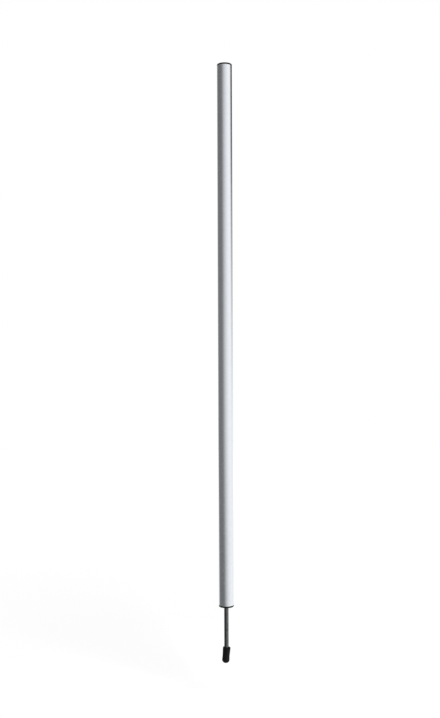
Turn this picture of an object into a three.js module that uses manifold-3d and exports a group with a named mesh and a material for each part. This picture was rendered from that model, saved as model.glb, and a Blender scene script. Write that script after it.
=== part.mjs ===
// A slalom pole: a marker pole for agility training. An aluminium tube has a push-in plug at each end,
// a steel ground spike is bolted through the lower plug, and a rubber cover protects the spike's point.
// Millimetres, +Z up. The origin is on the pole's axis at the ground line, which is the flat underside
// of the lower plug's head. The spike and its cover are below it and the tube is above it.

import * as THREE from "three";
import { mergeVertices } from "three/addons/utils/BufferGeometryUtils.js";
import Module from "manifold-3d";

const wasm = await Module();
wasm.setup();

// Tube
const tubeLength = 900;
const tubeDiameter = 25;
const tubeWall = 1.5;
const tubeEdgeRadius = 0.6; // tumbled outer edge of both cut ends
const tubeBoreBevel = 0.3; // deburred inner edge of both cut ends

// What both plugs share
const plugHeadHeight = 2.6;
const plugHeadEdgeRadius = 1.1;
const plugFinHeight = 1.6; // from the spigot's core out to a fin's edge
const plugFinLand = 0.8; // flat edge of a fin
const plugFinSlope = 1.4; // sloped lead-in side of a fin
const plugFit = 0.2; // fin edge to tube bore

// Upper plug
const topCrownHeight = 0.8;
const topSpigotLength = 24;
const topFinCount = 3;
const topShellWall = 2.4; // wall round the moulded hollow
const topRoof = 2.2; // material between the hollow and the underside of the head

// Lower plug
const bottomSpigotLength = 46;
const bottomFinCount = 5;
const seatHeight = 26; // from the ground line up to the step that the spike's shoulder meets

// Ground spike
const spikeDiameter = 7.5;
const spikeBelowGround = 91;
const spikePointLength = 12;
const spikePointDiameter = 1.2;
const spikeFit = 0.2; // rod or stem to the bore of the lower plug

// Thread on the spike's stem and in its nut
const threadDiameter = 6;
const threadPitch = 1;
const threadDepth = 0.54;
const threadFit = 0.25; // radial clearance between stem and nut threads
const threadLength = 12;
// One pitch of the thread as shares of the pitch: height along the axis, and distance out from the root.
// The root is flat, and the sharp peak is cut off where the rod's own surface is.
const threadShares = [
  [0, 0],
  [0.25, 0],
  [0.625, 0.65],
];
const stemBevel = 0.6;
const stemAboveNut = 2.2;

// Nut and washers
const nutAcrossFlats = 10;
const nutHeight = 5;
const nutBevel = 0.7;
const flatWasherDiameter = 12;
const flatWasherThickness = 1.6;
const flatWasherFit = 0.2; // washer bore to thread
const lockWasherDiameter = 11;
const lockWasherThickness = 1.6;
const lockWasherFit = 0.15;
const lockWasherSplit = 1;

// Tip cover
const coverLength = 26.5;
const coverMouthDiameter = 12.8;
const coverWaistDiameter = 11.9;
const coverWaistDepth = 16; // from the mouth down to the narrowest place
const coverEndDiameter = 12.4;
const coverEndHeight = 5.2; // height of the rounded end
const coverRimRadius = 1.1;
const coverEndWall = 2.5; // rubber below the bore
const coverPointGap = 1; // from the spike's point to the end of the bore
const coverFit = 0.15; // closest approach of bore and rod
const coverLean = 4.5; // degrees: the soft cover sits a little askew on the spike

// Fineness of the round shapes
const wideSides = 48;
const narrowSides = 32;
const threadSides = 16; // narrowSides is a whole number of times this
const arcSteps = 6;
const cutOverrun = 2; // how far a cutting shape reaches past what it cuts
const mergeDistance = 1e-4;

// Sizes that follow from the ones above
const tubeRadius = tubeDiameter / 2;
const tubeBoreRadius = tubeRadius - tubeWall;
const tubeBottom = plugHeadHeight;
const tubeTop = tubeBottom + tubeLength;
const finRadius = tubeBoreRadius - plugFit;
const coreRadius = finRadius - plugFinHeight;
const finThickness = plugFinLand + plugFinSlope;
const spikeRadius = spikeDiameter / 2;
const spikePointRadius = spikePointDiameter / 2;
const threadRadius = threadDiameter / 2;
const threadRoot = threadRadius - threadDepth;
const spigotTop = tubeBottom + bottomSpigotLength;
const flatWasherTop = spigotTop + flatWasherThickness;
const lockWasherTop = flatWasherTop + lockWasherThickness;
const nutTop = lockWasherTop + nutHeight;
const stemTop = nutTop + stemAboveNut;
const threadBottom = stemTop - threadLength;

// The cover's mouth is where its rubber end, bore gap and the hidden part of the spike put it.
const coverBoreDepth = coverLength - coverEndWall;
const coverGrip = coverBoreDepth - coverPointGap; // length of spike inside the cover
const coverMouth = coverGrip - spikeBelowGround;
const straightGrip = coverGrip - spikePointLength;
const coverPivotDepth = straightGrip / 2;
const coverSlope = Math.tan(THREE.MathUtils.degToRad(coverLean));
const coverBoreRadius = spikeRadius + coverFit + coverPivotDepth * coverSlope;
const coverBoreEndRadius = spikePointRadius + coverFit + (coverGrip - coverPivotDepth) * coverSlope;

// Finishes
const satinAluminium = new THREE.MeshStandardMaterial({ color: 0xc9ccd0, roughness: 0.35, metalness: 1 });
const blackPlastic = new THREE.MeshStandardMaterial({ color: 0x141416, roughness: 0.4, metalness: 0 });
const darkSteel = new THREE.MeshStandardMaterial({ color: 0x55565a, roughness: 0.4, metalness: 1 });
const zincSteel = new THREE.MeshStandardMaterial({ color: 0xb6b9bd, roughness: 0.35, metalness: 1 });
const blackRubber = new THREE.MeshStandardMaterial({ color: 0x131313, roughness: 0.8, metalness: 0 });

// A profile point: distance from the axis, and height.
const at = (radius, height) => new THREE.Vector2(radius, height);

// Points along an elliptical arc of a profile, between two angles in degrees.
function arc(centreRadius, centreHeight, across, up, fromDegrees, toDegrees) {
  const points = [];
  for (let i = 0; i <= arcSteps; i++) {
    const angle = THREE.MathUtils.degToRad(fromDegrees + ((toDegrees - fromDegrees) * i) / arcSteps);
    points.push(at(centreRadius + across * Math.cos(angle), centreHeight + up * Math.sin(angle)));
  }
  return points;
}

// A profile turned about the Z axis. It runs up the outside, and starts and ends on the axis or closes.
function turned(profile, sides) {
  return new THREE.LatheGeometry(profile, sides).rotateX(Math.PI / 2);
}

// A closed geometry as a solid that can be joined and cut.
function solidOf(geometry) {
  const bare = geometry.clone();
  bare.deleteAttribute("normal");
  bare.deleteAttribute("uv");
  const merged = mergeVertices(bare, mergeDistance);
  const vertProperties = merged.attributes.position.array;
  const triVerts = new Uint32Array(merged.index.array);
  return new wasm.Manifold(new wasm.Mesh({ numProp: 3, vertProperties, triVerts }));
}

// A solid back as a geometry.
function geometryOf(solid) {
  const mesh = solid.getMesh();
  const geometry = new THREE.BufferGeometry();
  geometry.setAttribute("position", new THREE.BufferAttribute(mesh.vertProperties, mesh.numProp));
  geometry.setIndex(new THREE.BufferAttribute(mesh.triVerts, 1));
  geometry.computeVertexNormals();
  return geometry;
}

function piece(name, geometry, material) {
  const mesh = new THREE.Mesh(geometry, material);
  mesh.name = name;
  return mesh;
}

// The tube has both outer edges rounded and both inner edges bevelled.
function tubeGeometry() {
  const edge = tubeRadius - tubeEdgeRadius;
  return turned(
    [
      at(tubeBoreRadius, tubeBottom + tubeBoreBevel),
      at(tubeBoreRadius + tubeBoreBevel, tubeBottom),
      ...arc(edge, tubeBottom + tubeEdgeRadius, tubeEdgeRadius, tubeEdgeRadius, -90, 0),
      ...arc(edge, tubeTop - tubeEdgeRadius, tubeEdgeRadius, tubeEdgeRadius, 0, 90),
      at(tubeBoreRadius + tubeBoreBevel, tubeTop),
      at(tubeBoreRadius, tubeTop - tubeBoreBevel),
      at(tubeBoreRadius, tubeBottom + tubeBoreBevel),
    ],
    wideSides,
  );
}

// Profile of evenly spaced barbed fins between two heights, from the lower to the upper. The sloped side
// of each fin leads as the plug is pushed in, downwards or upwards.
function fins(bottom, top, count, leads) {
  const step = (top - bottom) / count;
  const points = [];
  for (let i = 0; i < count; i++) {
    const middle = bottom + step * (i + 1 / 2);
    const low = middle - finThickness / 2;
    const high = middle + finThickness / 2;
    const slopeBelow = leads === "down" ? plugFinSlope : 0;
    const slopeAbove = leads === "up" ? plugFinSlope : 0;
    points.push(at(coreRadius, low), at(finRadius, low + slopeBelow));
    points.push(at(finRadius, high - slopeAbove), at(coreRadius, high));
  }
  return points;
}

// The upper plug: a domed head as wide as the tube, on a finned spigot that is hollow from below.
function topPlugGeometry() {
  const spigotBottom = tubeTop - topSpigotLength;
  const hollowRadius = coreRadius - topShellWall;
  const hollowTop = tubeTop - topRoof;
  const headTop = tubeTop + plugHeadHeight;
  const edge = tubeRadius - plugHeadEdgeRadius;
  const crownRadius = (edge ** 2 + topCrownHeight ** 2) / (2 * topCrownHeight);
  const crownCentre = headTop + topCrownHeight - crownRadius;
  const crownStart = THREE.MathUtils.radToDeg(Math.acos(edge / crownRadius));
  return turned(
    [
      at(0, hollowTop),
      at(hollowRadius, hollowTop),
      at(hollowRadius, spigotBottom),
      at(coreRadius, spigotBottom),
      ...fins(spigotBottom, tubeTop, topFinCount, "down"),
      at(coreRadius, tubeTop),
      at(tubeRadius, tubeTop),
      ...arc(edge, headTop - plugHeadEdgeRadius, plugHeadEdgeRadius, plugHeadEdgeRadius, 0, 90),
      ...arc(0, crownCentre, crownRadius, crownRadius, crownStart, 90).slice(1),
    ],
    wideSides,
  );
}

// The lower plug: a flat head with a rounded lower edge, on a long finned spigot. Its stepped bore is as
// wide as the rod up to the seat and as wide as the threaded stem above it.
function bottomPlugGeometry() {
  const rodBore = spikeRadius + spikeFit;
  const stemBore = threadRadius + spikeFit;
  const edge = tubeRadius - plugHeadEdgeRadius;
  return turned(
    [
      at(rodBore, 0),
      ...arc(edge, plugHeadEdgeRadius, plugHeadEdgeRadius, plugHeadEdgeRadius, -90, 0),
      at(tubeRadius, tubeBottom),
      at(coreRadius, tubeBottom),
      ...fins(tubeBottom, spigotTop, bottomFinCount, "up"),
      at(coreRadius, spigotTop),
      at(stemBore, spigotTop),
      at(stemBore, seatHeight),
      at(rodBore, seatHeight),
      at(rodBore, 0),
    ],
    wideSides,
  );
}

// A rod with nothing but thread, over at least the given heights, as a closed helical grid. A row of
// points climbs one pitch in a turn at one radius, and the row it meets after a turn is a pitch higher.
function threadedRod(bottom, top, extraRadius) {
  const rowsInPitch = threadShares.length;
  const firstTurn = Math.floor(bottom / threadPitch) - 1;
  const rows = (Math.ceil(top / threadPitch) + 1 - firstTurn) * rowsInPitch;
  const positions = [];
  for (let row = 0; row <= rows; row++) {
    const [along, outward] = threadShares[row % rowsInPitch];
    const radius = threadRoot + extraRadius + threadPitch * outward;
    for (let side = 0; side < threadSides; side++) {
      const turns = firstTurn + Math.floor(row / rowsInPitch) + along + side / threadSides;
      const angle = (2 * Math.PI * side) / threadSides;
      positions.push(radius * Math.cos(angle), radius * Math.sin(angle), threadPitch * turns);
    }
  }
  positions.push(0, 0, threadPitch * firstTurn);
  positions.push(0, 0, threadPitch * (firstTurn + rows / rowsInPitch + 1));
  const lowCentre = (rows + 1) * threadSides;
  const highCentre = lowCentre + 1;
  const corner = (row, side) =>
    side < threadSides ? row * threadSides + side : (row + rowsInPitch) * threadSides;
  const faces = [];
  const fan = (centre, rim) => {
    rim.forEach((point, i) => faces.push(centre, point, rim[(i + 1) % rim.length]));
  };
  for (let side = 0; side < threadSides; side++) {
    const seam = side === threadSides - 1 ? rowsInPitch : 0;
    for (let row = 0; row < rows - seam; row++) {
      faces.push(corner(row, side), corner(row, side + 1), corner(row + 1, side + 1));
      faces.push(corner(row, side), corner(row + 1, side + 1), corner(row + 1, side));
    }
  }
  const sides = [...Array(threadSides).keys()];
  const pitchRows = [...Array(rowsInPitch).keys()];
  const lowRim = [
    ...sides.map((side) => corner(0, side)),
    ...pitchRows.map((row) => corner(rowsInPitch - row, 0)),
  ];
  const highRim = [
    ...sides.map((side) => corner(rows, side)),
    ...pitchRows.map((row) => corner(rows - 1 - row, threadSides - 1)),
  ];
  fan(lowCentre, lowRim.reverse());
  fan(highCentre, highRim);
  const geometry = new THREE.BufferGeometry();
  geometry.setAttribute("position", new THREE.Float32BufferAttribute(positions, 3));
  geometry.setIndex(faces);
  return geometry;
}

// The ground spike: a rod with a turned point, a shoulder at the seat and a thinner stem, whose upper
// end has the thread cut into it.
function spikeGeometry() {
  const point = -spikeBelowGround;
  const rod = turned(
    [
      at(0, point),
      at(spikePointRadius, point),
      at(spikeRadius, point + spikePointLength),
      at(spikeRadius, seatHeight),
      at(threadRadius, seatHeight),
      at(threadRadius, stemTop - stemBevel),
      at(threadRadius - stemBevel, stemTop),
      at(0, stemTop),
    ],
    narrowSides,
  );
  const reach = threadRadius + cutOverrun;
  const cutTop = stemTop + cutOverrun;
  const sleeve = turned(
    [at(0, threadBottom), at(reach, threadBottom), at(reach, cutTop), at(0, cutTop)],
    threadSides,
  );
  const thread = threadedRod(threadBottom, cutTop, 0);
  const groove = solidOf(sleeve).subtract(solidOf(thread));
  return geometryOf(solidOf(rod).subtract(groove));
}

// A hexagon nut: a prism with both faces bevelled by a turned blank, cut by the thread with its clearance.
function nutGeometry() {
  const corners = nutAcrossFlats / 2 / Math.cos(Math.PI / 6);
  const middle = (lockWasherTop + nutTop) / 2;
  const prism = new THREE.CylinderGeometry(corners, corners, nutHeight, 6).rotateX(Math.PI / 2);
  const blank = turned(
    [
      at(0, lockWasherTop),
      at(corners - nutBevel, lockWasherTop),
      at(corners, lockWasherTop + nutBevel / 2),
      at(corners, nutTop - nutBevel / 2),
      at(corners - nutBevel, nutTop),
      at(0, nutTop),
    ],
    narrowSides,
  );
  const thread = threadedRod(lockWasherTop - cutOverrun, nutTop + cutOverrun, threadFit);
  const body = solidOf(prism.translate(0, 0, middle)).intersect(solidOf(blank));
  return geometryOf(body.subtract(solidOf(thread)));
}

function flatWasherGeometry() {
  const inner = threadRadius + flatWasherFit;
  const outer = flatWasherDiameter / 2;
  return turned(
    [
      at(inner, spigotTop),
      at(outer, spigotTop),
      at(outer, flatWasherTop),
      at(inner, flatWasherTop),
      at(inner, spigotTop),
    ],
    narrowSides,
  );
}

// The spring washer, tightened flat: a ring with a narrow split.
function lockWasherGeometry() {
  const inner = threadRadius + lockWasherFit;
  const outer = lockWasherDiameter / 2;
  const start = lockWasherSplit / 2 / inner;
  const end = 2 * Math.PI - start;
  const ring = new THREE.Shape();
  ring.absarc(0, 0, outer, start, end, false);
  ring.absarc(0, 0, inner, end, start, true);
  const options = { depth: lockWasherThickness, bevelEnabled: false, curveSegments: narrowSides };
  return new THREE.ExtrudeGeometry(ring, options).translate(0, 0, flatWasherTop);
}

// The rubber cover, hanging down from the centre of its mouth: a body with a slight waist and a rounded
// end. Its bore has the rod's width, and then narrows round the spike's point.
function coverGeometry() {
  const mouth = coverMouthDiameter / 2;
  const end = coverEndDiameter / 2;
  const rim = Math.min(coverRimRadius, (mouth - coverBoreRadius) / 2);
  return turned(
    [
      ...arc(0, coverEndHeight - coverLength, end, coverEndHeight, -90, 0),
      at(coverWaistDiameter / 2, -coverWaistDepth),
      ...arc(mouth - rim, -rim, rim, rim, 0, 90),
      at(coverBoreRadius, 0),
      at(coverBoreRadius, -straightGrip),
      at(coverBoreEndRadius, -coverBoreDepth),
      at(0, -coverBoreDepth),
    ],
    narrowSides,
  );
}

// The cover leans about the middle of the rod that it grips.
function placedCover() {
  const cover = piece("tip_cover", coverGeometry(), blackRubber);
  cover.position.z = coverPivotDepth;
  const pivot = new THREE.Group();
  pivot.position.z = coverMouth - coverPivotDepth;
  pivot.rotation.y = THREE.MathUtils.degToRad(coverLean);
  pivot.add(cover);
  return pivot;
}

const group = new THREE.Group();
group.add(
  piece("pole_tube", tubeGeometry(), satinAluminium),
  piece("top_plug", topPlugGeometry(), blackPlastic),
  piece("bottom_plug", bottomPlugGeometry(), blackPlastic),
  piece("ground_spike", spikeGeometry(), darkSteel),
  piece("flat_washer", flatWasherGeometry(), zincSteel),
  piece("lock_washer", lockWasherGeometry(), zincSteel),
  piece("spike_nut", nutGeometry(), zincSteel),
  placedCover(),
);

export default group;
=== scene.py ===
# %% [markdown]
# # A slalom pole
# A marker pole for agility training, one metre long. A satin aluminium tube has a black plug pushed into
# each end. A steel spike is bolted through the lower plug, and a rubber cover keeps its point from
# scratching. This lesson dresses the CAD model of the pole: each part gets a fine surface that is worked
# out with numpy, and a material that is built from what the real one is made of.
#
# The CAD model comes first and stays where it is. It is the frame that everything else is measured from.

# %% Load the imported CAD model
import math

import bpy
import numpy as np
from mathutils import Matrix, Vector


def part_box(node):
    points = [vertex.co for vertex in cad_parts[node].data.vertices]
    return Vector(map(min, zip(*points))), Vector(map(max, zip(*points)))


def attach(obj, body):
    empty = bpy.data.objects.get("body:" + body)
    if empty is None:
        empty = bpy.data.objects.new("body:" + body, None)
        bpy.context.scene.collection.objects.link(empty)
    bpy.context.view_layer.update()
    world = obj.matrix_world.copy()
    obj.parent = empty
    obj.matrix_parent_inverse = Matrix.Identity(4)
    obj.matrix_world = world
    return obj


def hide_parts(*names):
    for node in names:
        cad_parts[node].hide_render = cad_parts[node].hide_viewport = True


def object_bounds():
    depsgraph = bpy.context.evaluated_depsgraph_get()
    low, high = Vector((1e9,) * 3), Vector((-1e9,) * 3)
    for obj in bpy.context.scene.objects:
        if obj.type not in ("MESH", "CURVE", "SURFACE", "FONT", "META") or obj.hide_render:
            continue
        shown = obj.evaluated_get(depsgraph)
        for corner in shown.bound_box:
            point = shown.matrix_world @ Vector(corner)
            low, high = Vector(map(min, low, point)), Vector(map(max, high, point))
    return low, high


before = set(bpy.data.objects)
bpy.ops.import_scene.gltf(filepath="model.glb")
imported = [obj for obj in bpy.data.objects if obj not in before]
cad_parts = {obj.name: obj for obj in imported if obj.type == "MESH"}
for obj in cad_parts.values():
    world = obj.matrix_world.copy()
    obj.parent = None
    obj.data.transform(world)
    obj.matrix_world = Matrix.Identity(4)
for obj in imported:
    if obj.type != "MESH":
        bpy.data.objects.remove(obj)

MM = 0.001  # a millimetre in metres

cad_low, cad_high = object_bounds()
print("CAD box, mm:", [round((high - low) / MM, 2) for low, high in zip(cad_low, cad_high)])
print("CAD nodes:", sorted(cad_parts))

# %% [markdown]
# ## The camera
# The photograph looks at the pole from straight in front, at about the height of its middle, and shows
# all of it. Its focal length is given in pixels, because that is how it was worked out: a pole one metre
# long fills 601 rows of the picture from almost 1.5 metres away. Blender wants millimetres on a sensor, so
# the long side of the picture is set to a 36 mm sensor. The pole leans a little to the left in the
# photograph, and the camera is rolled by that angle.
#
# The photographed pole also narrows by a seventh from its top to its foot. A pitched camera with a large
# lens shift would copy that, but the shift would push the pole off the middle in every other view. So
# this camera isn't pitched, and keeps the pole's sides parallel.

# %% The camera
PHOTO_HEIGHT = 718  # pixels, the long side of the 440 x 718 picture
FOCAL_LENGTH = 871  # pixels
SENSOR = 36  # mm
CAMERA_PLACE = (-0.0091, -1.4555, 0.41325)  # metres
LEVEL, CAMERA_ROLL = 90, 0.21  # degrees: a camera that isn't turned looks straight down

camera_data = bpy.data.cameras.new("camera")
camera_data.sensor_width = SENSOR
camera_data.lens = FOCAL_LENGTH * SENSOR / PHOTO_HEIGHT
camera = bpy.data.objects.new("camera", camera_data)
camera.location = CAMERA_PLACE
camera.rotation_euler = (math.radians(LEVEL), math.radians(CAMERA_ROLL), 0)
bpy.context.scene.collection.objects.link(camera)
bpy.context.scene.camera = camera
bpy.context.scene.view_settings.view_transform = "Standard"
print("lens, mm:", round(camera_data.lens, 2))

# %% [markdown]
# ## Small helpers for node trees
# Materials and the world are both trees of nodes. One function empties a tree. One adds a node, sets its
# values and links its inputs, so that a tree reads as a list of steps. Another turns the colours that a
# designer writes, such as #C8CACC, into the linear values that the renderer works in.

# %% Helpers for colours and nodes
FROM, TO, COLOURS = ("From Min", "From Max"), ("To Min", "To Max"), ("Color1", "Color2")  # inputs in pairs


def linear(hex_colour):
    """Each sRGB channel from 0 to 1 becomes ((c + 0.055) / 1.055) ** 2.4, or c / 12.92 where it is dark."""
    c = np.array([int(hex_colour[i : i + 2], 16) / 255 for i in (1, 3, 5)])
    channels = np.where(c <= 0.04045, c / 12.92, ((c + 0.055) / 1.055) ** 2.4)
    return (*channels.tolist(), 1)


def emptied(owner):
    """The node tree of a material or a world, with no nodes in it."""
    owner.use_nodes = True
    owner.node_tree.nodes.clear()
    return owner.node_tree


def add(tree, kind, values=None, links=None):
    """Adds a node to a tree. A value goes to the setting of that name, or else to the input of that
    name or number. A link joins another node's output to the input of that name or number."""
    node = tree.nodes.new("ShaderNode" + kind)
    for key, value in (values or {}).items():
        if isinstance(key, str) and hasattr(node, key):
            setattr(node, key, value)
        else:
            node.inputs[key].default_value = value
    for key, output in (links or {}).items():
        tree.links.new(output, node.inputs[key])
    return node


print("white is", linear("#FFFFFF"), "and mid grey", [round(c, 3) for c in linear("#808080")])

# %% [markdown]
# ## The studio
# Satin metal has hardly a colour of its own. What it shows is the room. In the photograph the tube is
# dark on its left and rises smoothly to almost white on its right, so the studio has a dark cloth on the
# left, and a white wall on the right that is lit more the further round it goes. High on the right,
# behind the pole, a dark panel gives the tube the thin dark line along its right edge.
#
# Real cloths and walls would do, but they would be in the way as soon as the camera goes round the pole.
# Here they are painted by direction in the world instead, so first the tree works out which way a ray
# looks: how far round from the camera's side, to the right where positive, and how far up.

# %% The direction that a ray looks in
world = bpy.data.worlds.new("studio")
bpy.context.scene.world = world
world.cycles.sampling_method = "NONE"  # each ray then meets the walls as the kind of ray that it is
room = emptied(world)
x, y, z = add(room, "SeparateXYZ", {}, {0: add(room, "TexCoord").outputs["Generated"]}).outputs
to_camera = add(room, "Math", {"operation": "MULTIPLY", 1: -1}, {0: y}).outputs[0]
turn = add(room, "Math", {"operation": "ARCTAN2"}, {0: x, 1: to_camera}).outputs[0]
elevation = add(room, "Math", {"operation": "ARCSINE"}, {0: z}).outputs[0]
print("a ray's direction takes", len(room.nodes), "nodes")

# %% [markdown]
# A ramp gives the walls' brightness all round, from straight behind the pole, over the left, the
# camera's side and the right, to behind again. It has to end as it begins, or the tube would show a hard
# line from behind. One ramp is for above the horizon and one for below it, where the dark panel ends.

# %% The brightness of the walls
# Degrees round from the camera's side, with the wall's brightness there as a share of its peak.
WALLS_ABOVE = [
    (-180, 0.5), (-178, 0.5), (-162, 0.85), (-136, 0.17), (-118, 0.16), (-62, 0.145), (-44, 0.195),
    (-32, 0.3), (-20, 0.45), (-6, 0.6), (10, 0.735), (26, 0.84), (44, 0.92), (66, 0.98), (86, 0.98),
    (100, 0.75), (109, 0.05), (160, 0.02), (171, 0.12), (178, 0.5), (180, 0.5),
]
PANEL = (86, 182)  # degrees, from its start to just past straight behind
BEHIND_PANEL = 0.95  # the brightness that takes the panel's place low down

WALLS_BELOW = []
for angle, level in WALLS_ABOVE:
    WALLS_BELOW.append((angle, BEHIND_PANEL if PANEL[0] <= angle % 360 <= PANEL[1] else level))
print("wall stops:", len(WALLS_ABOVE), "above and", len(WALLS_BELOW), "below the horizon")

# %% [markdown]
# Low down, the dark cloth hangs further round to the right, so there the ramps are turned a little. What
# is turned past straight behind comes in again on the other side.

# %% The walls
CLOTH_FOOT = (-6, -15)  # degrees above the horizon over which the ramps come to be turned
CLOTH_SPREAD = 21  # degrees by which they are

foot = dict(zip(FROM, np.radians(CLOTH_FOOT).tolist()))
foot["To Max"] = math.radians(CLOTH_SPREAD)
spread = add(room, "MapRange", foot, {"Value": elevation}).outputs[0]
turn = add(room, "Math", {"operation": "SUBTRACT"}, {0: turn, 1: spread}).outputs[0]
turn = add(room, "Math", {"operation": "WRAP", 1: math.pi, 2: -math.pi}, {0: turn}).outputs[0]
way_round = add(room, "MapRange", dict(zip(FROM, (-math.pi, math.pi))), {"Value": turn}).outputs[0]
walls = []
for label, stops in [("walls below", WALLS_BELOW), ("walls above", WALLS_ABOVE)]:
    node = add(room, "ValToRGB", {"label": label}, {"Fac": way_round})
    node.color_ramp.interpolation = "B_SPLINE"
    marks = node.color_ramp.elements
    for angle, level in stops[1:-1]:
        marks.new((angle + 180) / 360).color = (level, level, level, 1)
    for mark, (angle, level) in zip((marks[0], marks[-1]), (stops[0], stops[-1])):
        mark.color = (level, level, level, 1)
    walls.append(node.outputs["Color"])
print("the walls take the studio to", len(room.nodes), "nodes")

# %% [markdown]
# The two ramps are mixed near the horizon, where a faint haze of light also lifts the dark cloth. Ceiling
# and floor are white. The walls run far down before the floor takes over, so that the tube keeps a light
# and a dark side when it is seen from above.

# %% From the walls to the ceiling and the floor
WHITE = (1, 1, 1, 1)
WALL_PEAK = 1.16  # brightness of the brightest wall
PANEL_EDGE = (-7, 17)  # degrees above the horizon over which the dark panel begins
HAZE, HAZE_EDGE = 0.045, (14, 9)  # share of white, and degrees from the horizon over which it comes in
CEILING_EDGE, FLOOR_EDGE = (32, 52), (-48, -75)  # degrees over which the walls turn into ceiling or floor

from_horizon = add(room, "Math", {"operation": "ABSOLUTE"}, {0: elevation}).outputs[0]
edges = []
for angle, ends, most in [
    (elevation, PANEL_EDGE, 1),
    (from_horizon, HAZE_EDGE, HAZE),
    (elevation, CEILING_EDGE, 1),
    (elevation, FLOOR_EDGE, 1),
]:
    reach = dict(zip(FROM, np.radians(ends).tolist()))
    reach |= {"interpolation_type": "SMOOTHSTEP", "To Max": most}
    edges.append(add(room, "MapRange", reach, {"Value": angle}).outputs[0])
wall = add(room, "MixRGB", {}, {"Fac": edges[0], "Color1": walls[0], "Color2": walls[1]}).outputs[0]
peak = {"blend_type": "MULTIPLY", "Fac": 1, "Color2": (WALL_PEAK, WALL_PEAK, WALL_PEAK, 1)}
reflected = add(room, "MixRGB", peak, {"Color1": wall}).outputs[0]
for edge in edges[1:]:
    reflected = add(room, "MixRGB", {"Color2": WHITE}, {"Fac": edge, "Color1": reflected}).outputs[0]
print("haze, ceiling and floor take it to", len(room.nodes))

# %% [markdown]
# The Light Path node says what kind of ray asks. The camera and clear things see plain white. Glossy rays
# see the walls. Diffuse rays get one even, soft light, so that every side of the plastic and rubber is
# lit about as its colour is written.

# %% What each kind of ray sees
AMBIENT = 0.7  # soft light from all round

ray = add(room, "LightPath").outputs
soft = {"Color1": (AMBIENT, AMBIENT, AMBIENT, 1)}
lit = add(room, "MixRGB", soft, {"Fac": ray["Is Glossy Ray"], "Color2": reflected}).outputs[0]
plain = {0: ray["Is Camera Ray"], 1: ray["Is Transmission Ray"]}
plain = add(room, "Math", {"operation": "MAXIMUM"}, plain).outputs[0]
colour = add(room, "MixRGB", {"Color2": WHITE}, {"Fac": plain, "Color1": lit}).outputs[0]
background = add(room, "Background", {"Strength": 1}, {"Color": colour}).outputs[0]
add(room, "OutputWorld", {}, {"Surface": background})
print("the whole studio has", len(room.nodes), "nodes")

# %% [markdown]
# ## The floor
# The floor is plain and pale, and lies below the lowest place that the spike's cover can slide to. It is
# white in the picture because the camera sees a little light of its own on it, added to what the lamp
# gives. The pole's shadow takes the lamp's part away and stays. Metal doesn't see the floor, but the room
# that the world paints. The back of the paper is clear, so that the pole can be looked at from below too.

# %% The floor
FLOOR_HEIGHT, FLOOR_HALF = -0.16, 4  # metres, the second from the pole to an edge of the floor
CORNERS = [(-1, -1), (1, -1), (1, 1), (-1, 1)]  # anticlockwise from above, so that the face looks up

floor_mesh = bpy.data.meshes.new("floor")
corners = [(across * FLOOR_HALF, along * FLOOR_HALF, FLOOR_HEIGHT) for across, along in CORNERS]
floor_mesh.from_pydata(corners, [], [range(len(corners))])
floor = bpy.data.objects.new("floor", floor_mesh)
bpy.context.scene.collection.objects.link(floor)
floor.visible_glossy = False
print("the floor is", 2 * FLOOR_HALF, "m wide")

# %% The paper on it
FLOOR_GLOW = (0.2, 0.42)  # near the pole, and far from the lamp
FLOOR_FADE = (0.5, 2.5)  # metres from the pole over which it changes
PAPER_TONE, PAPER_ROUGHNESS = "#F2F2F2", 0.9

paper = bpy.data.materials.new("white_background_paper")
tree = emptied(paper)
place = add(tree, "TexCoord").outputs["Object"]
away = add(tree, "VectorMath", {"operation": "LENGTH"}, {0: place}).outputs["Value"]
level = add(tree, "MapRange", dict(zip(FROM + TO, FLOOR_FADE + FLOOR_GLOW)), {"Value": away}).outputs[0]
seen = add(tree, "LightPath").outputs["Is Camera Ray"]
glow = add(tree, "Math", {"operation": "MULTIPLY"}, {0: seen, 1: level}).outputs[0]
pale = {"Base Color": linear(PAPER_TONE), "Roughness": PAPER_ROUGHNESS, "Emission Color": WHITE}
front = add(tree, "BsdfPrincipled", pale, {"Emission Strength": glow}).outputs[0]
back = add(tree, "BsdfTransparent").outputs[0]
below = add(tree, "NewGeometry").outputs["Backfacing"]
surface = add(tree, "MixShader", {}, {0: below, 1: front, 2: back}).outputs[0]
add(tree, "OutputMaterial", {}, {"Surface": surface})
floor_mesh.materials.append(paper)
print(paper.name, "has", len(tree.nodes), "nodes")

# %% [markdown]
# ## The lamp
# One large soft lamp stands in front on the right, which is where the photograph is brightest. A disk
# lamp is the simplest soft light. Its own mirror image would be a hard bright spot on the tube, so glossy
# rays don't see it, and see the painted walls there instead.

# %% The lamp
LAMP_PLACE = (1.3, -1.9, 2.1)  # metres
LAMP_SIZE = 1.4  # metres across
LAMP_POWER = 42  # watts

lamp_data = bpy.data.lights.new("soft_lamp", "AREA")
lamp_data.shape = "DISK"
lamp_data.size = LAMP_SIZE
lamp_data.energy = LAMP_POWER
lamp = bpy.data.objects.new("soft_lamp", lamp_data)
lamp.location = LAMP_PLACE
middle = (cad_low + cad_high) / 2
lamp.rotation_euler = (middle - lamp.location).to_track_quat("-Z", "Y").to_euler()
lamp.visible_glossy = False
bpy.context.scene.collection.objects.link(lamp)
print("the lamp is", round((middle - lamp.location).length, 2), "m from the middle of the pole")

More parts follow.
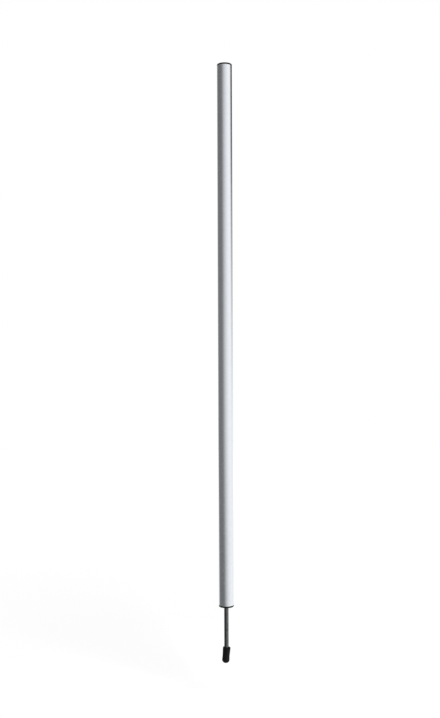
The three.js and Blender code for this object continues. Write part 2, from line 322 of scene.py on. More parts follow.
# %% [markdown]
# ## Surfaces from profiles
# The parts that show are all round, so each of them can be made as a profile that is turned about an
# axis, like work on a lathe. A profile is a list of corners: distance from the axis, height, and the
# radius that the corner is rounded to. No real edge is perfectly sharp, and it is the small round of an
# edge that catches the light, so even a corner that looks sharp gets a radius here.
#
# Blender could also do this with the Screw and Bevel modifiers. Working the points out ourselves gives
# the same mesh in each run, and lets us press a thread or a mark into the grid before it gets its faces.
# The sizes of the pole are written in millimetres, and turn into metres where a grid becomes a mesh.

# %% Round the corners of a profile
ARC_STEPS = 6
EDGE_FLAT = 0.3  # a row this share of the radius past each arc keeps the flat beside it flat in shading


def rounded(corners):
    """Replaces each corner that has a radius by an arc that touches both of its sides.

    With unit vectors u and v from the corner to its neighbours, and half the angle between them: the arc
    starts and ends at radius / tan(half) from the corner, and its centre is at radius / sin(half) along
    u + v. Points between swing from the start to the end, as sin((1 - s) t) a + sin(s t) b over sin(t),
    with a and b the arms from the centre and t the angle between them."""
    corners = np.array(corners, float)
    places, radii = corners[:, :2], corners[:, 2]
    share = np.linspace(0, 1, ARC_STEPS + 1)[:, None]
    rows = []
    for before, here, after, radius in zip(np.roll(places, 1, 0), places, np.roll(places, -1, 0), radii):
        if not radius:
            rows.append(here[None])
            continue
        u, v = (side / np.linalg.norm(side) for side in (before - here, after - here))
        half = np.arccos(u @ v) / 2
        start, end = here + u * radius / np.tan(half), here + v * radius / np.tan(half)
        centre = here + (u + v) / np.linalg.norm(u + v) * radius / np.sin(half)
        swing = np.pi - 2 * half
        arms = np.sin((1 - share) * swing) * (start - centre) + np.sin(share * swing) * (end - centre)
        reach = EDGE_FLAT * radius
        rows.append(np.vstack([start + u * reach, centre + arms / np.sin(swing), end + v * reach]))
    return np.vstack(rows)


print("a rounded square corner has", len(rounded([(0, 0, 0), (1, 0, 0.2), (1, 1, 0)])) - 2, "points")

# %% Turn a profile about the axis
def turned(profile, columns):
    """A profile of (radius, height) turned about the Z axis, as rows by columns by 3:
    x = radius * cos(angle), y = radius * sin(angle), z = height."""
    angle = np.arange(columns) * 2 * np.pi / columns
    radius, height = profile[:, :1], profile[:, 1:]
    return np.stack([radius * np.cos(angle), radius * np.sin(angle), height + 0 * angle], axis=-1)


print("a turned profile:", turned(np.array([(1, 0), (1, 5)]), 8).shape)

# %% [markdown]
# A grid of points becomes a mesh when each point makes a face with its neighbours in the next column and
# the next row. A solid of revolution ends on the axis, where a whole row of the grid falls on one point,
# so there the faces are a fan of triangles. A tube has no such ends, and its last row joins its first.

# %% Give a grid its faces
SHARP = 40  # degrees: an edge that bends more than this is shaded as an edge


def skinned(name, grid, ring=False):
    """A closed mesh object from a grid of points in millimetres, whose rows run up the outside.

    The last column joins the first. In a ring the last row joins the first row too. Otherwise the first
    and last rows are on the axis, and each becomes one point. Number holds, at each place of the grid,
    which point is there. A quad that has one point twice becomes a triangle."""
    rows, columns = grid.shape[:2]
    if ring:
        points = grid.reshape(-1, 3)
        number = np.arange(rows * columns).reshape(rows, columns)
        number = np.vstack([number, number[:1]])
    else:
        inner = grid[1:-1].reshape(-1, 3)
        points = np.vstack([grid[0, :1], inner, grid[-1, :1]])
        number = np.arange(len(inner)).reshape(-1, columns) + 1
        number = np.vstack([0 * number[:1], number, 0 * number[:1] + len(inner) + 1])
    beside = np.roll(number, -1, axis=1)
    quads = np.stack([number[:-1], beside[:-1], beside[1:], number[1:]], axis=-1).reshape(-1, 4)
    low_end, high_end = quads[:, 0] == quads[:, 1], quads[:, 2] == quads[:, 3]
    faces = quads[~low_end & ~high_end].tolist()
    faces += quads[low_end][:, [0, 2, 3]].tolist() + quads[high_end][:, :3].tolist()
    mesh = bpy.data.meshes.new(name)
    mesh.from_pydata((points * MM).tolist(), [], faces)
    mesh.shade_smooth()
    mesh.set_sharp_from_angle(angle=math.radians(SHARP))
    made = bpy.data.objects.new(name, mesh)
    bpy.context.scene.collection.objects.link(made)
    size = " x ".join(f"{side:.2f}" for side in np.ptp(points, axis=0))
    print(f"{name}: {len(points)} points, {len(faces)} faces, {size} mm")
    return made


# %% [markdown]
# ## What the materials share
# A real surface is never even. In most materials here one pattern, as a share from 0 to 1, leads both the
# colour and the roughness from one value to another. In all of them a finer pattern raises the surface.
#
# A piece is dressed when it has its material and takes the place of the CAD node that it was made after.
# It also rides on that node's body, so that it goes along when the joint moves.

# %% Helpers for the materials, and for dressing a piece
EVEN = 0.5  # two patterns that are mixed by this count alike


def varied(tree, share, tones, roughness):
    """A colour and a roughness that go from their first value to their second as share goes up."""
    tone = add(tree, "MixRGB", dict(zip(COLOURS, map(linear, tones))), {"Fac": share}).outputs[0]
    sheen = add(tree, "MapRange", dict(zip(TO, roughness)), {"Value": share}).outputs[0]
    return tone, sheen


def surfaced(tree, stuff, tone, sheen, height, relief):
    """Ends a material with its shader. Stuff is what the shader is told about the material as a whole,
    and relief is the strength and the depth with which the height pattern raises the surface."""
    relief = dict(zip(("Strength", "Distance"), relief))
    normal = add(tree, "Bump", relief, {"Height": height}).outputs[0]
    links = {"Base Color": tone, "Roughness": sheen, "Normal": normal}
    surface = add(tree, "BsdfPrincipled", stuff, links).outputs[0]
    add(tree, "OutputMaterial", {}, {"Surface": surface})
    print("the finished material has", len(tree.nodes), "nodes")


def dressed(made, material, body, node):
    """Gives a piece its material, lets it move with its CAD body, and hides the CAD node it stands for."""
    made.data.materials.append(material)
    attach(made, body)
    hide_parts(node)
    print(made.name, "stands for", node, "in", material.name)


# %% [markdown]
# ## The tube
# A drawn aluminium tube, 25 mm across with a 1.5 mm wall, cut to 900 mm. After cutting, the ends are
# tumbled, which rounds the outer edge, and deburred inside. The rounded upper edge is worth modelling:
# it mirrors the ceiling and gives the bright crescent under the plug.

# %% The tube's surface
TUBE_WALL = 1.5
TUBE_EDGE = 0.6
TUBE_DEBURR = 0.3
BREAK = 0.08  # the small round that every cut edge has
WIDE_COLUMNS = 128

tube_low, tube_high = (np.array(corner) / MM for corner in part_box("pole_tube"))
TUBE_RADIUS = (tube_high - tube_low)[0] / 2
TUBE_LOW, TUBE_HIGH = tube_low[2], tube_high[2]
TUBE_BORE = TUBE_RADIUS - TUBE_WALL
outline = rounded([
    (TUBE_BORE, TUBE_LOW + TUBE_DEBURR, BREAK),
    (TUBE_BORE + TUBE_DEBURR, TUBE_LOW, BREAK),
    (TUBE_RADIUS, TUBE_LOW, TUBE_EDGE),
    (TUBE_RADIUS, TUBE_HIGH, TUBE_EDGE),
    (TUBE_BORE + TUBE_DEBURR, TUBE_HIGH, BREAK),
    (TUBE_BORE, TUBE_HIGH - TUBE_DEBURR, BREAK),
])
tube = skinned("satin_tube", turned(outline, WIDE_COLUMNS), ring=True)

# %% [markdown]
# ## Satin anodised aluminium
# The tube was pulled through a die, etched and then anodised clear. Drawing leaves fine lines along it.
# Etching makes the whole surface satin, which spreads each reflection into a soft band, and anodising
# keeps it pale and a little cool. Handling leaves a few hair scratches, slightly across the lines.
#
# The lines could be an image, but noise that is stretched along the tube does the same at any size. A
# Mapping node of the texture type divides by its scale, so the scale is simply the pattern's real size.
# The real lines are about 0.2 mm apart, which is too fine to show in a picture of the whole pole. So a
# broader set that is 1.5 mm apart is laid over them, as weak bands of more and less shine.

# %% The lines in the aluminium
DIE_LINE, LINE_LENGTH = 0.2 * MM, 60 * MM
DIE_BAND, BAND_LENGTH = 1.5 * MM, 400 * MM
SCRATCH_GAP, SCRATCH_LENGTH, SCRATCH_SLANT = 6 * MM, 220 * MM, 5  # the slant in degrees

aluminium = bpy.data.materials.new("satin_anodised_aluminium")
tree = emptied(aluminium)
place = add(tree, "TexCoord").outputs["Object"]
noises = []
for width, length, slant in [
    (DIE_LINE, LINE_LENGTH, 0),
    (DIE_BAND, BAND_LENGTH, 0),
    (SCRATCH_GAP, SCRATCH_LENGTH, math.radians(SCRATCH_SLANT)),
]:
    stretch = {"vector_type": "TEXTURE", "Rotation": (slant, slant, 0), "Scale": (width, width, length)}
    stretched = add(tree, "Mapping", stretch, {"Vector": place}).outputs[0]
    noises.append(add(tree, "TexNoise", {"Scale": 1, "Detail": 2}, {"Vector": stretched}).outputs["Fac"])
lines, bands, wander = noises
print("lines, bands and scratches:", len(noises), "stretched noises")

# %% [markdown]
# A scratch is a line where the third noise passes through its middle value, and is drawn about 0.1 mm
# wide. Such lines would run the whole length of the tube, so a slow cloud leaves only short pieces of
# them. The same cloud is the unevenness of the etch.

# %% The cloud and the scratches
ETCH_CLOUD = 7 * MM
MIDDLE, SCRATCH_WIDTH = 0.5, 0.014  # of the noise, and the share of it on each side that is scratch
SCRATCHED = (0.56, 0.6)  # how high the cloud is where scratches begin and are full

cloud = add(tree, "TexNoise", {"Scale": 1 / ETCH_CLOUD, "Detail": 3}, {"Vector": place}).outputs["Fac"]
off_middle = add(tree, "Math", {"operation": "SUBTRACT", 1: MIDDLE}, {0: wander}).outputs[0]
off_middle = add(tree, "Math", {"operation": "ABSOLUTE"}, {0: off_middle}).outputs[0]
hair = add(tree, "MapRange", dict(zip(FROM, (SCRATCH_WIDTH, 0))), {"Value": off_middle}).outputs[0]
where = add(tree, "MapRange", dict(zip(FROM, SCRATCHED)), {"Value": cloud}).outputs[0]
scratch = add(tree, "Math", {"operation": "MULTIPLY"}, {0: hair, 1: where}).outputs[0]
print("patterns in the aluminium:", len(tree.nodes), "nodes")

# %% The aluminium
ALUMINIUM_TONES = ("#DDE0E5", "#E5E8ED")
ALUMINIUM_ROUGHNESS = (0.19, 0.26)
ALUMINIUM_SPAN = (0.3, 0.7)  # of bands and cloud together, from one tone to the other
SCRATCH_ROUGHNESS = 0.12  # added in a scratch
LINE_RELIEF = (0.25, 0.01 * MM)
METAL = {"Metallic": 1}

mixed = add(tree, "MixRGB", {"Fac": EVEN}, {"Color1": bands, "Color2": cloud}).outputs[0]
share = add(tree, "MapRange", dict(zip(FROM, ALUMINIUM_SPAN)), {"Value": mixed}).outputs[0]
tone, sheen = varied(tree, share, ALUMINIUM_TONES, ALUMINIUM_ROUGHNESS)
rougher = {"operation": "MULTIPLY_ADD", 1: SCRATCH_ROUGHNESS}
sheen = add(tree, "Math", rougher, {0: scratch, 2: sheen}).outputs[0]
height = add(tree, "Math", {"operation": "SUBTRACT"}, {0: lines, 1: scratch}).outputs[0]
surfaced(tree, METAL, tone, sheen, height, LINE_RELIEF)
dressed(tube, aluminium, "pole", "pole_tube")

# %% [markdown]
# ## The two plugs
# Both plugs are moulded in black polyethylene. A head as wide as the tube covers its cut end, and a
# spigot with barbed fins grips inside. The fins are springy rings: their sloped side leads on the way in
# and their flat side holds on the way out.

# %% What both plugs share
HEAD_HEIGHT = 2.6
HEAD_EDGE = 1.1
FIN_HEIGHT, FIN_LAND, FIN_SLOPE = 1.6, 0.8, 1.4
PLUG_FIT = 0.2  # fin edge to tube bore
MOULDED = 0.15  # round of a moulded edge

FIN_RADIUS = TUBE_BORE - PLUG_FIT
CORE_RADIUS = FIN_RADIUS - FIN_HEIGHT


def fins(low, high, count, leads_up):
    """Corners of evenly spaced barbed fins, from the lowest up. Each one goes out, along its land and
    back in, and the side that leads is sloped."""
    step = (high - low) / count
    below, above = (0, FIN_SLOPE) if leads_up else (FIN_SLOPE, 0)
    corners = []
    for middle in low + step * (np.arange(count) + 0.5):
        start, end = middle - (FIN_LAND + FIN_SLOPE) / 2, middle + (FIN_LAND + FIN_SLOPE) / 2
        corners += [(CORE_RADIUS, start, MOULDED), (FIN_RADIUS, start + below, MOULDED)]
        corners += [(FIN_RADIUS, end - above, MOULDED), (CORE_RADIUS, end, MOULDED)]
    return corners


print("a fin is", FIN_LAND + FIN_SLOPE, "mm thick at its root")

# %% [markdown]
# The upper plug is hollow from below and has a slightly domed head. The dome is part of a sphere, which
# meets the rounded edge of the head without a corner.

# %% The dome of the upper plug
CROWN = 0.8  # height of the dome
CROWN_ROWS, CROWN_START = 14, 0.4  # the first row's distance inside the dome's edge
GATE_RADIUS, GATE_RIM = 1.6, 0.3  # the mark in the middle, and the flat round it where the dome ends

head_top = TUBE_HIGH + HEAD_HEIGHT
crown_radius = TUBE_RADIUS - HEAD_EDGE
sphere = (crown_radius**2 + CROWN**2) / (2 * CROWN)


def crown_height(radius):
    """The height of a sphere's top at a distance r from the axis: its centre + sqrt(R * R - r * r)."""
    return head_top + CROWN - sphere + np.sqrt(sphere**2 - radius**2)


edge_angle = np.linspace(0, np.pi / 2 - math.asin(crown_radius / sphere), ARC_STEPS + 2)
edge_height = head_top - HEAD_EDGE + HEAD_EDGE * np.sin(edge_angle)
edge = [crown_radius + HEAD_EDGE * np.cos(edge_angle), edge_height]
crown_radii = np.linspace(crown_radius - CROWN_START, GATE_RADIUS + GATE_RIM, CROWN_ROWS)
crown = [crown_radii, crown_height(crown_radii)]
print("the dome is part of a sphere of", round(sphere, 1), "mm radius")

# %% [markdown]
# In the middle of the dome is the mark of the moulding gate: a small round dimple, with the nub where the
# plastic was broken off. Its first corner is the dome's last row again, which only tells the first round
# where it comes from, so that row is left out.

# %% The gate mark
GATE_DEPTH, GATE_WALL = 0.25, 0.15
NUB_RADIUS, NUB_HEIGHT, NUB_WALL = 0.5, 0.18, 0.1

gate_top = crown_height(GATE_RADIUS)
gate_floor = gate_top - GATE_DEPTH
gate = rounded([
    (crown_radii[-1], crown[1][-1], 0),
    (GATE_RADIUS, gate_top, BREAK),
    (GATE_RADIUS - GATE_WALL, gate_floor, BREAK),
    (NUB_RADIUS, gate_floor, BREAK),
    (NUB_RADIUS - NUB_WALL, gate_floor + NUB_HEIGHT, BREAK),
    (0, gate_floor + NUB_HEIGHT, 0),
])[1:]
print("the gate mark has", len(gate), "rows")

# %% [markdown]
# The rest of the plug, from the roof of its hollow round to the side of its head, is a plain list of
# corners. Its last one only shows which way the side goes, and the rounded edge takes its place.

# %% The upper plug's surface
TOP_SPIGOT, TOP_FINS = 24, 3
SHELL_WALL, ROOF, HOLLOW_ROUND = 2.4, 2.2, 0.5

spigot_low, hollow_high = TUBE_HIGH - TOP_SPIGOT, TUBE_HIGH - ROOF
body = rounded([
    (0, hollow_high, 0),
    (CORE_RADIUS - SHELL_WALL, hollow_high, HOLLOW_ROUND),
    (CORE_RADIUS - SHELL_WALL, spigot_low, MOULDED),
    (CORE_RADIUS, spigot_low, MOULDED),
    *fins(spigot_low, TUBE_HIGH, TOP_FINS, leads_up=False),
    (CORE_RADIUS, TUBE_HIGH, MOULDED),
    (TUBE_RADIUS, TUBE_HIGH, MOULDED),
    (TUBE_RADIUS, head_top, 0),
])[:-1]
profile = np.vstack([body, np.transpose(edge), np.transpose(crown), gate])
upper_plug = skinned("upper_plug", turned(profile, WIDE_COLUMNS))

# %% [markdown]
# The lower plug is solid, with a stepped bore for the spike. Three pins that pushed it out of its mould
# have left shallow round marks on its flat underside. They aren't round about the pole's axis, so they
# are pressed into the finished grid: near the middle of a mark a point moves up by its depth, and over
# the width of its wall the depth eases to nothing, as t * t * (3 - 2 * t). The grid has many rows there,
# to be fine enough. Only points lower than the round of a moulded edge belong to the underside.

# %% The lower plug's outline
BOTTOM_SPIGOT, BOTTOM_FINS = 46, 5
SEAT = 26  # height of the step that the spike's shoulder meets
ROD_BORE, STEM_BORE, BORE_BREAK = 3.95, 3.2, 0.3
UNDERSIDE_ROWS, FROM_BORE, FROM_EDGE = 26, 0.9, 1.65  # the rows keep clear of the rounds on both sides

underside = np.linspace(ROD_BORE + FROM_BORE, TUBE_RADIUS - FROM_EDGE, UNDERSIDE_ROWS)
spigot_high = TUBE_LOW + BOTTOM_SPIGOT
outline = rounded([
    (STEM_BORE, spigot_high, MOULDED),
    (STEM_BORE, SEAT, MOULDED),
    (ROD_BORE, SEAT, MOULDED),
    (ROD_BORE, 0, BORE_BREAK),
    *((radius, 0, 0) for radius in underside),
    (TUBE_RADIUS, 0, HEAD_EDGE),
    (TUBE_RADIUS, TUBE_LOW, MOULDED),
    (CORE_RADIUS, TUBE_LOW, MOULDED),
    *fins(TUBE_LOW, spigot_high, BOTTOM_FINS, leads_up=True),
    (CORE_RADIUS, spigot_high, MOULDED),
])
print("the lower plug's outline has", len(outline), "rows")

# %% The pin marks, and the lower plug's surface
PIN_RADIUS, PIN_CIRCLE, PIN_DEPTH, PIN_WALL = 1.3, 7.6, 0.15, 0.3
PIN_ANGLES = (30, 150, 270)  # degrees

grid = turned(outline, WIDE_COLUMNS)
for pin in np.radians(PIN_ANGLES):
    away = np.hypot(grid[..., 0] - PIN_CIRCLE * np.cos(pin), grid[..., 1] - PIN_CIRCLE * np.sin(pin))
    ease = np.clip((PIN_RADIUS + PIN_WALL / 2 - away) / PIN_WALL, 0, 1)
    grid[..., 2] += np.where(grid[..., 2] < MOULDED, PIN_DEPTH * ease * ease * (3 - 2 * ease), 0)
lower_plug = skinned("lower_plug", grid, ring=True)

# %% [markdown]
# ## Moulded black polyethylene
# Polyethylene is soft and slightly waxy. The mould was spark eroded, so the plug copies its fine, even
# grain, which takes the mirror away but leaves a low sheen. Its convex edges are painted a little paler,
# as a painted highlight along the rounded edges that also stands for rubbing. Voronoi cells would look
# like leather, so the grain is noise at the size of the sparks, about 0.3 mm, with a slow cloud over it
# for the flow of the plastic.

# %% The polyethylene
GRAIN, FLOW = 0.3 * MM, 9 * MM
FLOW_SWIRL = 0.6  # how far the slow cloud is stirred
FLOW_SPAN = (0.25, 0.75)  # of the slow cloud, from one tone to the other
# The third tone is a painted highlight for the convex edges, which also stands for rubbing.
PLASTIC_TONES, EDGE_HIGHLIGHT_AND_RUB_TONE = ("#09090A", "#111112"), "#1A1A1C"
PLASTIC_ROUGHNESS = (0.4, 0.5)
EDGE_HIGHLIGHT_AND_RUB_POINTINESS = (0.53, 0.62)  # pointiness where the painted edge highlight with rubbing starts, and where it is full
GRAIN_RELIEF = (0.5, 0.06 * MM)
PLASTIC = {"IOR": 1.51, "Specular IOR Level": 0.2}

polyethylene = bpy.data.materials.new("moulded_black_polyethylene")
tree = emptied(polyethylene)
place = add(tree, "TexCoord").outputs["Object"]
grain = add(tree, "TexNoise", {"Scale": 1 / GRAIN, "Detail": 2}, {"Vector": place}).outputs["Fac"]
flowing = {"Scale": 1 / FLOW, "Detail": 3, "Distortion": FLOW_SWIRL}
flow = add(tree, "TexNoise", flowing, {"Vector": place}).outputs["Fac"]
share = add(tree, "MapRange", dict(zip(FROM, FLOW_SPAN)), {"Value": flow}).outputs[0]
tone, sheen = varied(tree, share, PLASTIC_TONES, PLASTIC_ROUGHNESS)
pointed = add(tree, "NewGeometry").outputs["Pointiness"]
# Convex edges get a paler tone: a painted edge highlight, together with rubbing.
edge_highlight_and_rub = add(tree, "MapRange", dict(zip(FROM, EDGE_HIGHLIGHT_AND_RUB_POINTINESS)), {"Value": pointed}).outputs[0]
tone = add(tree, "MixRGB", {"Color2": linear(EDGE_HIGHLIGHT_AND_RUB_TONE)}, {"Fac": edge_highlight_and_rub, "Color1": tone}).outputs[0]
surfaced(tree, PLASTIC, tone, sheen, grain, GRAIN_RELIEF)
dressed(upper_plug, polyethylene, "pole", "top_plug")
dressed(lower_plug, polyethylene, "pole", "bottom_plug")

# %% [markdown]
# ## The ground spike
# A 7.5 mm steel rod with a turned point. Above the seat in the lower plug it is turned down to a stem
# with an M6 thread. A thread is a groove that climbs one pitch in each turn, so on a grid of heights and
# angles it is simple: the depth at a point depends only on height / pitch minus the share of a turn.

# %% The spike's outline
ROD_RADIUS = 3.75
POINT_LENGTH, POINT_RADIUS, POINT_ROUND, POINT_SHOULDER = 12, 0.6, 0.45, 2
STEM_RADIUS, STEM_BEVEL, STEM_ROUND = 3, 0.6, 0.2
PITCH, THREAD_LENGTH = 1, 12
THREAD_ROWS = 12  # to each pitch

SPIKE_LOW, SPIKE_HIGH = (corner[2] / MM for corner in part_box("ground_spike"))
thread_low = SPIKE_HIGH - THREAD_LENGTH
thread_heights = np.arange(thread_low, SPIKE_HIGH - STEM_BEVEL, PITCH / THREAD_ROWS)
outline = rounded([
    (0, SPIKE_LOW, 0),
    (POINT_RADIUS, SPIKE_LOW, POINT_ROUND),
    (ROD_RADIUS, SPIKE_LOW + POINT_LENGTH, POINT_SHOULDER),
    (ROD_RADIUS, SEAT, STEM_ROUND),
    (STEM_RADIUS, SEAT, STEM_ROUND),
    *((STEM_RADIUS, height, 0) for height in thread_heights),
    (STEM_RADIUS, SPIKE_HIGH - STEM_BEVEL, BREAK),
    (STEM_RADIUS - STEM_BEVEL, SPIKE_HIGH, BREAK),
    (0, SPIKE_HIGH, 0),
])
print("the spike reaches", round(-SPIKE_LOW, 1), "mm into the ground")

# %% [markdown]
# The thread's outline over one pitch is a flat root for a quarter of it, then a peak, which is cut off
# where the stem's own surface is. At its lower end the groove runs out over one pitch.

# %% Cut the thread
THREAD_DEPTH, THREAD_PEAK = 0.54, 0.65
ROOT_SHARE, PEAK_SHARE = 0.25, 0.625  # of a pitch: where the flat root ends, and where the peak is
SPIKE_COLUMNS = 96
TINY = 1e-9  # keeps points on the axis from a division by zero

grid = turned(outline, SPIKE_COLUMNS)
radius = np.hypot(grid[..., 0], grid[..., 1])
phase = (grid[..., 2] / PITCH - np.arange(SPIKE_COLUMNS) / SPIKE_COLUMNS) % 1
peak = np.clip(1 - np.abs(phase - PEAK_SHARE) / (PEAK_SHARE - ROOT_SHARE), 0, 1)
root = STEM_RADIUS - THREAD_DEPTH * np.clip((grid[..., 2] - thread_low) / PITCH, 0, 1)
threaded = np.minimum(radius, root + THREAD_PEAK * PITCH * peak)
wanted = np.where(grid[..., 2] > thread_low, threaded, radius)
grid[..., :2] *= (wanted / np.maximum(radius, TINY))[..., None]
spike = skinned("spike", grid)

# %% [markdown]
# ## Blackened drawn steel
# The rod is cold drawn, which leaves fine lines along it, and then blackened and oiled. The black oxide
# is thin and still metallic, so the rod mirrors the room, only much darker, with a breath of brown where
# the oxide is thick and of blue where it is thin. The point is turned after blackening, so it is brighter
# and has fine rings from the tool.

# %% The lines, patches and rings in the steel
DRAW_LINE, DRAW_LENGTH = 0.15 * MM, 25 * MM
OXIDE_PATCH = 4 * MM
TOOL_RING = 0.25 * MM
RING_START = 0.3 * MM  # the tool's rings fade in over this height on each side of the point's top

steel = bpy.data.materials.new("blackened_drawn_steel")
tree = emptied(steel)
place = add(tree, "TexCoord").outputs["Object"]
stretch = {"vector_type": "TEXTURE", "Scale": (DRAW_LINE, DRAW_LINE, DRAW_LENGTH)}
stretched = add(tree, "Mapping", stretch, {"Vector": place}).outputs[0]
lines = add(tree, "TexNoise", {"Scale": 1, "Detail": 3}, {"Vector": stretched}).outputs["Fac"]
patches = add(tree, "TexNoise", {"Scale": 1 / OXIDE_PATCH, "Detail": 4}, {"Vector": place}).outputs["Fac"]
up = add(tree, "SeparateXYZ", {}, {0: place}).outputs["Z"]
point_top = (SPIKE_LOW + POINT_LENGTH) * MM
fade = dict(zip(FROM, (point_top + RING_START, point_top - RING_START)))
on_point = add(tree, "MapRange", fade, {"Value": up}).outputs[0]
rings = add(tree, "Math", {"operation": "MULTIPLY", 1: 2 * math.pi / TOOL_RING}, {0: up}).outputs[0]
rings = add(tree, "Math", {"operation": "SINE"}, {0: rings}).outputs[0]
marks = add(tree, "MixRGB", {}, {"Fac": on_point, "Color1": lines, "Color2": rings}).outputs[0]
print("patterns in the steel:", len(tree.nodes), "nodes")

# %% The steel
OXIDE_TONES, TURNED_STEEL = ("#4C4945", "#73767B"), "#B4B6B9"
OXIDE_SPAN = (0.35, 0.65)  # of patches and lines together, from thick oxide to thin
STEEL_ROUGHNESS = (0.3, 0.2)
STEEL_RELIEF = (0.5, 0.01 * MM)

mixed = add(tree, "MixRGB", {"Fac": EVEN}, {"Color1": patches, "Color2": lines}).outputs[0]
share = add(tree, "MapRange", dict(zip(FROM, OXIDE_SPAN)), {"Value": mixed}).outputs[0]
tone, sheen = varied(tree, share, OXIDE_TONES, STEEL_ROUGHNESS)
bright = {"Color2": linear(TURNED_STEEL)}
tone = add(tree, "MixRGB", bright, {"Fac": on_point, "Color1": tone}).outputs[0]
surfaced(tree, METAL, tone, sheen, marks, STEEL_RELIEF)
dressed(spike, steel, "pole", "ground_spike")

# %% [markdown]
# ## The rubber cover
# A moulded cap of black rubber, a push fit on the spike, that sits a little askew because it is soft. It
# has a slight waist and a rounded end. The two halves of its mould have left a fine raised line down each
# side. The outline is worked out upright, with the mouth at height zero, and is then leaned about the
# middle of the rod that it grips, as the CAD model leans it.

# %% The cover's sizes
COVER_LENGTH, END_WALL, POINT_GAP, COVER_FIT = 26.5, 2.5, 1, 0.15
MOUTH_RADIUS, WAIST_RADIUS, END_RADIUS = 6.4, 5.95, 6.2
WAIST_DEPTH, END_HEIGHT = 16, 5.2
LEAN = 4.5  # degrees

lean = math.radians(LEAN)
bore_depth = COVER_LENGTH - END_WALL
grip = bore_depth - POINT_GAP  # length of spike inside the cover
straight_grip = grip - POINT_LENGTH
pivot_depth = straight_grip / 2
pivot_height = SPIKE_LOW + grip - pivot_depth
bore_radius = ROD_RADIUS + COVER_FIT + pivot_depth * math.tan(lean)
bore_end_radius = POINT_RADIUS + COVER_FIT + (grip - pivot_depth) * math.tan(lean)
print("the cover's mouth is at", round(SPIKE_LOW + grip, 2), "mm")
print("its bore is", round(2 * bore_radius, 2), "mm wide")

# %% [markdown]
# The end is half an ellipse. From there the radius eases in to the waist and out again to the mouth,
# each time along half a wave of a cosine, so that there is no kink anywhere. Where two stretches of the
# outline meet, the row that both have is left out of the second one.

# %% The cover's outline
RIM, BORE_RIM, BORE_ROUND, BORE_END_ROUND = 1.1, 0.3, 1, 0.6
DOME_ROWS, BODY_ROWS, BODY_TOP = 14, 30, -2.2  # the body's last row keeps clear of the rim's round
COVER_COLUMNS = 160

swing = np.linspace(0, np.pi / 2, DOME_ROWS)
dome = [END_RADIUS * np.sin(swing), END_HEIGHT - COVER_LENGTH - END_HEIGHT * np.cos(swing)]
heights = np.linspace(END_HEIGHT - COVER_LENGTH, BODY_TOP, BODY_ROWS)[1:]
above_waist = heights > -WAIST_DEPTH
whole_way = np.where(above_waist, WAIST_DEPTH, WAIST_DEPTH + heights[0])
way = (WAIST_DEPTH + heights) / whole_way  # 0 at the waist, and 1 at the mouth and at the rounded end
far_radius = np.where(above_waist, MOUTH_RADIUS, END_RADIUS)
radii = WAIST_RADIUS + (far_radius - WAIST_RADIUS) * (1 - np.cos(np.pi * way)) / 2
rim_and_bore = rounded([
    (radii[-1], heights[-1], 0),
    (MOUTH_RADIUS, 0, RIM),
    (bore_radius, 0, BORE_RIM),
    (bore_radius, -straight_grip, BORE_ROUND),
    (bore_end_radius, -bore_depth, BORE_END_ROUND),
    (0, -bore_depth, 0),
])[1:]
profile = np.vstack([np.transpose(dome), np.transpose([radii, heights]), rim_and_bore])
grid = turned(profile, COVER_COLUMNS)
print("the cover's grid:", grid.shape)

# %% [markdown]
# The parting line is a low ridge. At a distance d round from its middle it is (1 - (d / width) ** 2) ** 2
# of its full height. It fades out towards the middle of the rounded end and is only on the outside.

# %% The parting line and the lean
PARTING_HEIGHT, PARTING_WIDTH, PARTING_TURN = 0.12, 0.22, 12  # the turn in degrees from the front
FRONT = -90  # degrees round from +X, where the columns start

outside = (np.arange(len(grid)) < DOME_ROWS + BODY_ROWS - 1)[:, None]
angle = np.arange(COVER_COLUMNS) * 2 * np.pi / COVER_COLUMNS
from_line = (angle - math.radians(FRONT + PARTING_TURN) + np.pi / 2) % np.pi - np.pi / 2
radius = np.hypot(grid[..., 0], grid[..., 1])
ridge = PARTING_HEIGHT * np.clip(1 - (from_line * radius / PARTING_WIDTH) ** 2, 0, 1) ** 2 * outside
ridge *= np.clip(radius / END_RADIUS, 0, 1)
grid[..., :2] *= (1 + ridge / np.maximum(radius, TINY))[..., None]
x, y, z = grid[..., 0], grid[..., 1], grid[..., 2] + pivot_depth
across, along = x * math.cos(lean) + z * math.sin(lean), z * math.cos(lean) - x * math.sin(lean)
cover = skinned("rubber_cover", np.stack([across, y, along + pivot_height], axis=-1))

# %% [markdown]
# ## Black rubber
# Carbon black fills the rubber, so it hardly has a colour. What the eye gets is how it takes light: a
# wide, weak sheen, a fine orange peel from the mould, and a grey bloom in soft patches where wax has
# come to the surface. The material works in the cover's own upright directions, which a Mapping node
# gives by undoing the lean.

# %% The rubber
PEEL, BLOOM = 0.5 * MM, 6 * MM
BLOOM_FRAY = 0.6  # how much the finer detail counts at the edges of the soft patches
BLOOM_SPAN = (0.4, 0.65)  # of the soft patches, from clean rubber to full bloom
RUBBER_TONES = ("#040405", "#151517")
RUBBER_ROUGHNESS = (0.5, 0.8)
PEEL_RELIEF = (0.5, 0.1 * MM)
RUBBER = {"IOR": 1.52, "Specular IOR Level": 0.15}

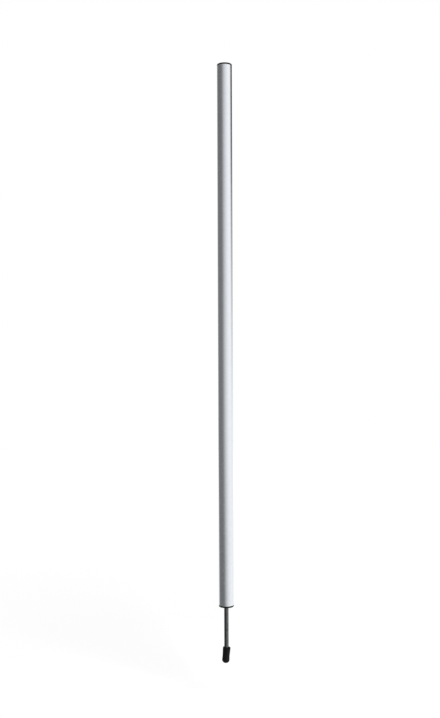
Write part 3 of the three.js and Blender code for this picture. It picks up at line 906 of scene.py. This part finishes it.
rubber = bpy.data.materials.new("black_moulded_rubber")
tree = emptied(rubber)
place = add(tree, "TexCoord").outputs["Object"]
undo = {"vector_type": "TEXTURE", "Location": (0, 0, pivot_height * MM), "Rotation": (0, lean, 0)}
upright = add(tree, "Mapping", undo, {"Vector": place}).outputs[0]
peel = add(tree, "TexNoise", {"Scale": 1 / PEEL, "Detail": 2}, {"Vector": upright}).outputs["Fac"]
soft_patches = {"Scale": 1 / BLOOM, "Detail": 4, "Roughness": BLOOM_FRAY}
bloom = add(tree, "TexNoise", soft_patches, {"Vector": upright}).outputs["Fac"]
share = add(tree, "MapRange", dict(zip(FROM, BLOOM_SPAN)), {"Value": bloom}).outputs[0]
tone, sheen = varied(tree, share, RUBBER_TONES, RUBBER_ROUGHNESS)
surfaced(tree, RUBBER, tone, sheen, peel, PEEL_RELIEF)
dressed(cover, rubber, "cover", "tip_cover")

# %% [markdown]
# ## Nut and washers
# They are inside the tube and are seen only when the pole is taken apart, so the CAD shapes stay as they
# are. They are zinc plated steel: bright, a little blue, with a fine crystalline sparkle and a faint
# yellow where the passivation is thicker.

# %% Zinc plated steel
CRYSTAL, TARNISH = 0.4 * MM, 3 * MM
ZINC_TONES = ("#C3C8CE", "#CBC7B6")
ZINC_ROUGHNESS = (0.24, 0.4)
CRYSTAL_RELIEF = (0.2, 0.01 * MM)

zinc = bpy.data.materials.new("zinc_plated_steel")
tree = emptied(zinc)
place = add(tree, "TexCoord").outputs["Object"]
crystal = add(tree, "TexVoronoi", {"Scale": 1 / CRYSTAL}, {"Vector": place}).outputs["Distance"]
tarnish = add(tree, "TexNoise", {"Scale": 1 / TARNISH, "Detail": 3}, {"Vector": place}).outputs["Fac"]
tones = dict(zip(COLOURS, map(linear, ZINC_TONES)))
tone = add(tree, "MixRGB", tones, {"Fac": tarnish}).outputs[0]
sheen = add(tree, "MapRange", dict(zip(TO, ZINC_ROUGHNESS)), {"Value": crystal}).outputs[0]
surfaced(tree, METAL, tone, sheen, crystal, CRYSTAL_RELIEF)
for name in ("flat_washer", "lock_washer", "spike_nut"):
    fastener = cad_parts[name].data
    fastener.materials.clear()
    fastener.materials.append(zinc)
    print(name, "keeps its CAD shape and is in", zinc.name)
